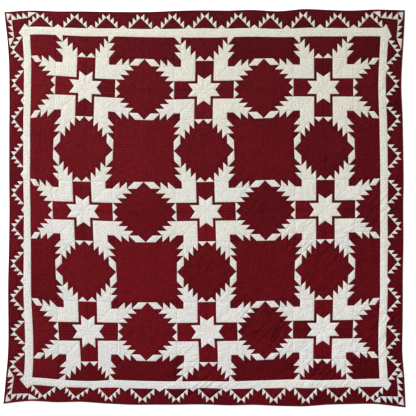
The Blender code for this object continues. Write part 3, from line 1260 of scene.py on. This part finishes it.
@dataclass
class ClothEffects:
    """The node groups that the quilt's cloths share, each built once.

    Attributes:
        pitch: Distance between two threads of the weave.
        stitch: Length of a quilting stitch with the gap after it.
        crease: Half the width of an old fold.
    """

    pitch: float = 0.00042
    stitch: float = 0.0052
    crease: float = 0.0035
    weave: bpy.types.NodeTree = field(init=False)
    yarns: bpy.types.NodeTree = field(init=False)
    quilting: bpy.types.NodeTree = field(init=False)
    seams: bpy.types.NodeTree = field(init=False)
    age_and_light: bpy.types.NodeTree = field(init=False)

    def __post_init__(self) -> None:
        """Build each group."""
        self.weave = self.plain_weave()
        self.yarns = self.uneven_yarns()
        self.quilting = self.running_stitches()
        self.seams = self.seam_hollows()
        self.age_and_light = self.age_and_painted_light()

    def plain_weave(self) -> bpy.types.NodeTree:
        """Threads that pass over and under: height is sin(pi u) sin(pi v), in threads."""
        graph, source, result = new_group("plain_weave", {"Cloth": "Vector"}, {"Height": "Float"})
        turns = graph.parts(graph.stretched(source.outputs["Cloth"], (math.pi / self.pitch,) * 3))
        waves = [graph.math("SINE", turns[axis]) for axis in "XY"]
        graph.join(graph.math("MULTIPLY", *waves), result.inputs["Height"])
        return graph.tree

    def uneven_yarns(self) -> bpy.types.NodeTree:
        """Thick and thin yarns both ways, soft puckers between the stitches, and the painted shade
        between the puckers.
        """
        graph, source, result = new_group(
            "uneven_yarns",
            {"Cloth": "Vector"},
            {"Shade": "Float", "Height": "Float", "Dimple": "Float"},
        )
        cloth = source.outputs["Cloth"]
        warp = graph.noise(graph.stretched(cloth, (620, 26, 1)), 1.0, 1.0)
        weft = graph.noise(graph.stretched(cloth, (22, 540, 1)), 1.0, 1.0)
        both = graph.math("ADD", warp, weft)
        puckers = graph.noise(cloth, 115.0, 4.0)
        graph.join(graph.math("SUBTRACT", both, 1.0), result.inputs["Shade"])
        mixed = graph.math("MULTIPLY_ADD", both, 0.12, puckers)
        graph.join(mixed, result.inputs["Height"])
        # Dimple: painted shade where the puckers are low, partly the dye's own mottling.
        graph.join(graph.math("SUBTRACT", 0.5, puckers), result.inputs["Dimple"])
        return graph.tree

    def running_stitches(self) -> bpy.types.NodeTree:
        """Hand quilting: a stitch and a gap by turns, along each whole channel number."""
        graph, source, result = new_group(
            "running_stitches",
            {"Channel": "Float", "Cloth": "Vector", "Inset": "Float"},
            {"Thread": "Float", "Line": "Float"},
        )
        number = source.outputs["Channel"]
        away = graph.math("ABSOLUTE", graph.math("SUBTRACT", number, graph.math("ROUND", number)))
        line = graph.math("SUBTRACT", 1.0, graph.math("DIVIDE", away, 0.16), clamp=True)
        inside = graph.math("GREATER_THAN", source.outputs["Inset"], 0.002)
        line = graph.math("MULTIPLY", line, inside)
        along = graph.parts(source.outputs["Cloth"])["Y"]
        turns = graph.math("MULTIPLY", graph.math("DIVIDE", along, self.stitch), math.tau)
        dash = graph.math("GREATER_THAN", graph.math("SINE", turns), 0.0)
        thin = graph.math("GREATER_THAN", line, 0.78)
        graph.join(graph.math("MULTIPLY", thin, dash), result.inputs["Thread"])
        graph.join(line, result.inputs["Line"])
        return graph.tree

    def seam_hollows(self) -> bpy.types.NodeTree:
        """How near a seam is: 1 on it, falling off over a few millimetres."""
        graph, source, result = new_group(
            "seam_hollows", {"Inset": "Float", "Reach": "Float"}, {"Mask": "Float"}
        )
        share = graph.math("DIVIDE", source.outputs["Inset"], source.outputs["Reach"])
        graph.join(graph.math("EXPONENT", graph.math("MULTIPLY", share, -1.0)), result.inputs["Mask"])
        return graph.tree

    def age_and_painted_light(self) -> bpy.types.NodeTree:
        """A cloth's colour, changed by its patch, by uneven fade, by painted light and glare across the
        quilt, and by painted shade in seams, quilting lines, wrinkles, folds and between puckers.
        """
        graph, source, result = new_group(
            "age_and_painted_light",
            {
                "Fresh": "Color", "Faded": "Color", "Place": "Vector", "Drift": "Vector",
                "Tone": "Float", "Spread": "Float", "Yarns": "Float", "Hollow": "Float",
                "Twist": "Float", "Rinse": "Vector",
            },
            {"Color": "Color", "Fading": "Float"},
        )
        place = source.outputs["Place"]
        # Painted light across the quilt along the drift, partly the cloth's uneven fade.
        drift = graph.dot(place, source.outputs["Drift"])
        slow = graph.math("MULTIPLY_ADD", graph.noise(place, 3.1, 2.0), 0.5, drift)
        flat = graph.stretched(place, (1, 1, 0))
        fading_and_light = graph.math("SUBTRACT", slow, 1.60)
        fading_and_light = graph.math("MULTIPLY_ADD", graph.noise(flat, 55.0, 3.0), 1.4, fading_and_light)
        fading_and_light = graph.math("MULTIPLY_ADD", graph.noise(flat, 230.0, 2.0), 2.2, fading_and_light)
        fading_and_light = graph.math("MULTIPLY_ADD", source.outputs["Tone"], 0.08, fading_and_light)
        fading_and_light = graph.math("MULTIPLY_ADD", source.outputs["Yarns"], 0.6, fading_and_light, clamp=True)
        dyed = graph.mix(fading_and_light, source.outputs["Fresh"], source.outputs["Faded"])
        tone = graph.math("MULTIPLY", source.outputs["Tone"], source.outputs["Spread"])
        # Painted shade, from seams, quilting lines, wrinkles, folds and puckers, darkens it here.
        value = graph.math("SUBTRACT", graph.math("ADD", tone, 1.0), source.outputs["Hollow"])
        # Painted light and shade: lighter towards the upper left and lower right, darker towards the
        # other two corners.
        split = graph.parts(place)
        corner = graph.math("MULTIPLY", split["X"], split["Y"])
        corner = graph.math("MULTIPLY", corner, source.outputs["Twist"])
        value = graph.math("SUBTRACT", value, corner)
        # Painted glare: the hue paler towards the side where the lamp's glare falls.
        rinse = graph.dot(place, source.outputs["Rinse"])
        bright = graph.node("ShaderNodeHueSaturation")
        graph.join(graph.math("SUBTRACT", 1.0, rinse), bright.inputs["Saturation"])
        graph.join(dyed, bright.inputs["Color"])
        graph.join(value, bright.inputs["Value"])
        graph.join(bright.outputs[0], result.inputs["Color"])
        graph.join(fading_and_light, result.inputs["Fading"])
        return graph.tree


@dataclass(frozen=True)
class Cotton:
    """A plain-woven, hand-quilted cotton.

    Attributes:
        name: The material's name.
        fresh: Its colour where it is least faded.
        faded: Its colour where it is most faded, which the painted light across the quilt also draws it
            towards.
        thread: The quilting thread's colour.
        drift: How much further towards its faded colour it goes a metre to the right, and a metre up:
            partly the cloth's uneven fade, partly painted light across the quilt.
        twist: Painted light and shade: how much darker it is a metre to the right and up, or to the
            left and down.
        rinse: Painted glare: how much paler its hue is a metre to the right, and a metre up.
        spread: How much one patch's brightness differs from the next.
        hollow: Painted shade: how much darker it is made in its seams.
        reach: How far from a seam that painted shade goes.
        stitched: Painted shade: how much darker it is made in the troughs along the quilting lines.
        valley: Painted shade: how much darker it is made in a wrinkle's valley, and half as much on a
            fold.
        mottle_and_pucker_shade: How much darker it is made between its puckers: painted shade, partly
            the dye's own mottling.
        sheen: Weight of the cloth's soft sheen.
        pucker: Height of the small puckers that are left to the bump.
        crease: Height of the old folds, as a share of the puckers' height.
        quilted: Whether it has quilting lines and seams.
    """

    name: str
    fresh: tuple[float, float, float, float]
    faded: tuple[float, float, float, float]
    thread: tuple[float, float, float, float]
    drift: tuple[float, float, float] = (0.0, 0.0, 0.0)
    twist: float = 0.0
    rinse: tuple[float, float, float] = (0.0, 0.0, 0.0)
    spread: float = 0.02
    hollow: float = 0.10
    reach: float = 0.0016
    stitched: float = 0.0
    valley: float = 0.0
    mottle_and_pucker_shade: float = 0.25
    sheen: float = 0.02
    pucker: float = 0.0018
    crease: float = 0.0
    quilted: bool = True

    def material(self, effects: ClothEffects) -> bpy.types.Material:
        """Build the material.

        Args:
            effects: The shared node groups.

        Returns:
            The material.
        """
        made = bpy.data.materials.new(self.name)
        made.use_nodes = True
        graph = Graph(made.node_tree)
        shader = made.node_tree.nodes["Principled BSDF"]
        cloth = graph.node("ShaderNodeUVMap", uv_map="cloth").outputs["UV"]
        place = graph.node("ShaderNodeTexCoord").outputs["Object"]
        yarns = graph.group(effects.yarns, Cloth=cloth)
        weave = graph.group(effects.weave, Cloth=cloth)
        tone: Source = 0.0
        # Painted shade between the puckers, partly the dye's own mottling.
        hollow: Source = graph.math("MULTIPLY", yarns.outputs["Dimple"], self.mottle_and_pucker_shade)
        thread: Source = 0.0
        crease: Source = 0.0
        if self.quilted:
            inset = graph.attribute("inset")
            tone = graph.attribute("tone")
            stitches = graph.group(
                effects.quilting, Channel=graph.attribute("channel"), Cloth=cloth, Inset=inset
            )
            # Painted shade: darker in the seams, in the troughs along the quilting lines, in the
            # wrinkles' valleys and on old folds.
            seam = graph.group(effects.seams, Inset=inset, Reach=self.reach).outputs["Mask"]
            patchy = graph.math("MULTIPLY_ADD", graph.noise(place, 11.0, 1.0), 3.0, -0.9, clamp=True)
            # Painted shade in the troughs along the quilting lines, in patches.
            line = graph.math("MULTIPLY", stitches.outputs["Line"], patchy)
            line = graph.math("MULTIPLY", line, graph.attribute("depth"))
            line = graph.math("MULTIPLY", line, self.stitched)
            seam = graph.math("MULTIPLY", seam, self.hollow)
            # Painted shade on the old folds and, below, in the wrinkles' valleys.
            fold = graph.group(effects.seams, Inset=graph.attribute("fold"), Reach=effects.crease)
            folded = graph.math("MULTIPLY", fold.outputs["Mask"], patchy)
            valley = graph.math("MULTIPLY_ADD", folded, 0.5, graph.attribute("valley"))
            sunk = graph.math("MULTIPLY_ADD", valley, self.valley, line)
            hollow = graph.math("ADD", graph.math("MAXIMUM", seam, sunk), hollow)
            thread = stitches.outputs["Thread"]
            crease = graph.math("MULTIPLY", fold.outputs["Mask"], self.crease)
        aged_and_lit = graph.group(
            effects.age_and_light,
            Fresh=self.fresh, Faded=self.faded, Place=place, Drift=self.drift, Tone=tone,
            Spread=self.spread, Yarns=yarns.outputs["Shade"], Hollow=hollow, Twist=self.twist,
            Rinse=self.rinse,
        )
        sewn = graph.mix(graph.math("MULTIPLY", thread, 0.8), aged_and_lit.outputs["Color"], self.thread)
        graph.join(sewn, shader.inputs["Base Color"])
        rough = graph.math("MULTIPLY_ADD", aged_and_lit.outputs["Fading"], 0.08, 0.84)
        graph.join(rough, shader.inputs["Roughness"])
        height = graph.math("MULTIPLY_ADD", weave.outputs["Height"], 0.06, yarns.outputs["Height"])
        height = graph.math("ADD", height, crease)
        bump = graph.node("ShaderNodeBump")
        bump.inputs["Strength"].default_value = 1.0
        bump.inputs["Distance"].default_value = self.pucker
        graph.join(height, bump.inputs["Height"])
        graph.join(bump.outputs[0], shader.inputs["Normal"])
        shader.inputs["Sheen Weight"].default_value = self.sheen
        shader.inputs["Sheen Roughness"].default_value = 0.5
        shader.inputs["Specular IOR Level"].default_value = 0.06
        return made


RED_COTTON = Cotton(
    "turkey_red_cotton", (0.081, 0.0020, 0.0048, 1), (0.158, 0.0054, 0.0097, 1), (0.11, 0.006, 0.01, 1),
    drift=(-0.32, -0.13, 0), twist=0.15, rinse=(-0.006, 0.013, 0), spread=0.065, hollow=0.34,
    reach=0.0040, stitched=0.55, valley=0.52, mottle_and_pucker_shade=1.0, sheen=0.01, pucker=0.0036, crease=0.16,
)
WHITE_COTTON = Cotton(
    "washed_white_cotton", (0.682, 0.674, 0.664, 1), (0.641, 0.609, 0.503, 1), (0.66, 0.64, 0.57, 1),
    drift=(0.08, 0.42, 0), twist=0.09, spread=0.018, hollow=0.05, stitched=0.16, valley=0.07,
    mottle_and_pucker_shade=0.6, pucker=0.0034, crease=0.10,
)
BINDING_COTTON = Cotton(
    "dark_binding_cotton", (0.070, 0.0048, 0.0075, 1), (0.105, 0.0072, 0.0100, 1), (0.1, 0.02, 0.02, 1),
    quilted=False,
)
BACKING_COTTON = Cotton(
    "backing_cotton", (0.74, 0.70, 0.60, 1), (0.66, 0.61, 0.50, 1), (0.7, 0.66, 0.57, 1),
    quilted=False,
)


@dataclass
class Backing:
    """The quilt's back and batting, a closed sheet just under the patches.

    Attributes:
        laid: Where each point of the even layout lies.
        relief: The face's height.
        depth: How far its upper side lies under the patches' seams.
        inset: How far it stops short of the quilt's edge, inside the binding.
        steps: Number of faces along each side.
    """

    laid: LaidShape
    relief: Relief
    depth: float = 0.0005
    inset: float = 0.0015
    steps: int = 96

    def build(self) -> bpy.types.Object:
        """Make the sheet.

        Its rows run across the quilt: the upper side from left to right and back again
        along the underside, so each row is a closed loop. The first and last rows fold
        up to a line, which closes the ends.

        Returns:
            The piece.
        """
        half = np.array((HALF_WIDTH, HALF_LENGTH)) - self.inset
        across = np.linspace(-half[0], half[0], self.steps + 1)
        along = np.linspace(-half[1], half[1], self.steps + 1)
        rows = np.concatenate([along[:1], along, along[-1:]])
        run = np.concatenate([across, across[::-1]])
        under = np.concatenate([np.zeros(len(across)), np.ones(len(across))])
        x, y = np.meshgrid(run, rows)
        even = np.column_stack([x.ravel(), y.ravel()])
        below = np.broadcast_to(under, x.shape).copy()
        below[[0, -1]] = 1
        top = self.relief.ground(even) - self.depth
        height = np.where(below.ravel() > 0, 0.0, top)
        whole = Surface(
            np.column_stack([self.laid(even), height]),
            grid_faces(*x.shape, closed=True)[:, ::-1],
            np.zeros(x.size),
            maps={"cloth": even},
        )
        return whole.mesh("backing")

    def dress(self, piece: bpy.types.Object, finish: bpy.types.Material) -> None:
        """Give the sheet its cloth, and let it stand for the CAD's quilted sheet."""
        settle(piece, finish, "quilt_sheet")


@dataclass
class Binding:
    """The narrow folded strip sewn over one edge of the quilt.

    Its profile goes round from the stitched inner edge over a rolled crown and down the
    outside to the floor. Each point of it is a distance out from the inner edge, a share
    of the seams' height and a rise, all but the shares in millimetres.

    Attributes:
        side: The side that it binds.
        laid: Where each point of the even layout lies.
        relief: The face's height.
        step: Length of one face along the edge.
        pucker: How much its crown sinks at a stitch, as a share of its rise.
        stitch: Distance between two stitches.
    """

    side: Side
    laid: LaidShape
    relief: Relief
    step: float = 0.0042
    pucker: float = 0.28
    stitch: float = 0.0125
    profile: tuple[tuple[float, float, float], ...] = (
        (0.0, 1.0, -0.45),
        (0.1, 1.0, 0.25),
        (0.7, 1.0, 0.75),
        (1.7, 1.0, 1.10),
        (3.0, 1.0, 1.20),
        (4.3, 1.0, 1.00),
        (5.3, 0.9, 0.35),
        (5.9, 0.7, -0.10),
        (6.0, 0.4, 0.00),
        (5.8, 0.12, 0.00),
        (5.0, 0.0, 0.00),
        (1.2, 0.0, 0.00),
        (0.0, 0.3, 0.00),
    )

    def build(self) -> bpy.types.Object:
        """Sweep the profile along the side, and close both ends.

        Returns:
            The piece.
        """
        axis, sign = self.side.value
        half, edge = (HALF_WIDTH, HALF_LENGTH) if axis == 0 else (HALF_LENGTH, HALF_WIDTH)
        reach = half if axis == 0 else half - BINDING - 0.3 * MM
        count = round(2 * reach / self.step)
        along = np.linspace(-reach, reach, count + 1)
        out, share, rise = np.array(self.profile).T
        places = edge - BINDING + out * MM
        s, t = np.meshgrid(along, places, indexing="ij")
        pair = (s.ravel(), sign * t.ravel())
        even = np.column_stack(pair if axis == 0 else pair[::-1])
        wander = self.relief.lattice(even, 0.03, 7)
        dips = np.sin(math.pi * s.ravel() / self.stitch) ** 8 * (0.6 + 0.4 * wander)
        lift = np.broadcast_to(rise * MM, s.shape).ravel() * (1 - self.pucker * dips + 0.1 * wander)
        ground = self.relief.ground(even) * np.broadcast_to(share, s.shape).ravel()
        points = np.column_stack([self.laid(even), ground + lift]).reshape(*s.shape, 3)
        ends = [np.broadcast_to(points[end].mean(axis=0), points[:1].shape) for end in (0, -1)]
        points = np.concatenate([ends[0], points, ends[1]])
        rows, columns = points.shape[:2]
        cloth = np.stack([t, s], axis=-1)
        cloth = np.concatenate([cloth[:1], cloth, cloth[-1:]]).reshape(-1, 2)
        faces = grid_faces(rows, columns, closed=True)
        if sign * (1 if axis else -1) < 0:
            faces = faces[:, ::-1]
        whole = Surface(points.reshape(-1, 3), faces, np.zeros(rows * columns), maps={"cloth": cloth})
        return whole.mesh(f"binding_strip_{self.side.word}")

    def dress(self, piece: bpy.types.Object, finish: bpy.types.Material) -> None:
        """Give the strip its cloth, and let it stand for the CAD's strip."""
        settle(piece, finish, f"binding_{self.side.word}")


@dataclass
class StarQuilt:
    """The whole quilt: pieced face, back and binding.

    Attributes:
        flat: Width and length of the quilt's cloth, flat; not used.
    """

    flat: tuple[float, float] = (1.93, 1.91)

    def build(self) -> None:
        effects = ClothEffects()
        finishes = {
            Cloth.RED: RED_COTTON.material(effects), Cloth.WHITE: WHITE_COTTON.material(effects)
        }
        laid, relief = LaidShape(), Relief()
        work = Patchwork(laid, relief)
        pieces: list[bpy.types.Object] = []
        for row in (1, 0, -1):
            for column in (-1, 0, 1):
                patches = StarBlock(column, row).patches()
                pieces += work.pieces(f"star_row{2 - row}_column{column + 2}", patches, finishes)
        pieces += work.pieces("strip", WhiteStrip().patches(), finishes)
        border = ToothedBorder()
        for side in Side:
            pieces += work.pieces(f"border_{side.word}", border.patches(side), finishes)
        for across in (Side.TOP, Side.BOTTOM):
            for upright in (Side.LEFT, Side.RIGHT):
                name = f"corner_{across.word}_{upright.word}"
                pieces += work.pieces(name, border.corner(across, upright), finishes)
        binding_finish = BINDING_COTTON.material(effects)
        for side in Side:
            binding = Binding(side, laid, relief)
            strip = binding.build()
            binding.dress(strip, binding_finish)
            pieces.append(strip)
        backing = Backing(laid, relief)
        back = backing.build()
        backing.dress(back, BACKING_COTTON.material(effects))


@dataclass
class Studio:
    """A pale floor, soft light, and a camera straight above the quilt.

    Attributes:
        view_width: Width of the floor that the camera sees.
        aim: Where the middle of its view is.
        lens: Focal length in millimetres, on a sensor 36 mm wide.
        floor_size: Width of the floor.
    """

    view_width: float = 2.005
    aim: tuple[float, float] = (0.0171, 0.001)
    lens: float = 85.0
    floor_size: float = 14.0

    def floor(self) -> None:
        """A plain pale floor."""
        half = self.floor_size / 2
        corners = np.array(((-half, -half), (half, -half), (half, half), (-half, half)))
        points = np.column_stack([corners, np.full(4, -0.05 * MM)])
        floor = Surface(points, np.array(((0, 1, 2, 3),)), np.zeros(4)).mesh("floor")
        made = bpy.data.materials.new("pale_floor")
        made.use_nodes = True
        shader = made.node_tree.nodes["Principled BSDF"]
        shader.inputs["Base Color"].default_value = (0.97, 0.97, 0.97, 1)
        shader.inputs["Emission Color"].default_value = (1, 1, 1, 1)
        shader.inputs["Emission Strength"].default_value = 0.35
        shader.inputs["Roughness"].default_value = 0.9
        shader.inputs["Specular IOR Level"].default_value = 0.1
        floor.data.materials.append(made)

    def light(self) -> None:
        """Even light from the surroundings, and a broad soft lamp from the upper left."""
        scene = bpy.context.scene
        world = bpy.data.worlds.new("studio")
        world.use_nodes = True
        background = world.node_tree.nodes["Background"]
        background.inputs["Color"].default_value = (1, 1, 1, 1)
        background.inputs["Strength"].default_value = 0.66
        scene.world = world
        for name, place, size, power in (
            ("key", (-8.1, 5.9, 3.3), 2.2, 1640.0),
            ("fill", (3.0, -1.5, 3.4), 2.6, 22.0),
        ):
            lamp = bpy.data.lights.new(name, "AREA")
            lamp.size = size
            lamp.energy = power
            holder = bpy.data.objects.new(name, lamp)
            holder.location = place
            holder.rotation_euler = (-Vector(place)).to_track_quat("-Z", "Y").to_euler()
            scene.collection.objects.link(holder)
        scene.view_settings.view_transform = "Standard"

    def camera(self) -> None:
        """A long lens straight above, with the quilt's top edge at the top of the view."""
        lens = bpy.data.cameras.new("camera")
        lens.lens = self.lens
        height = self.view_width / lens.sensor_width * self.lens
        camera = bpy.data.objects.new("camera", lens)
        camera.location = (*self.aim, height)
        bpy.context.scene.collection.objects.link(camera)
        bpy.context.scene.camera = camera


def main() -> None:
    """Build the quilt and the studio."""
    logging.basicConfig(level=logging.INFO, format="%(message)s", stream=sys.stdout)
    StarQuilt().build()
    studio = Studio()
    studio.floor()
    studio.light()
    studio.camera()


if __name__ == "__main__":
    main()
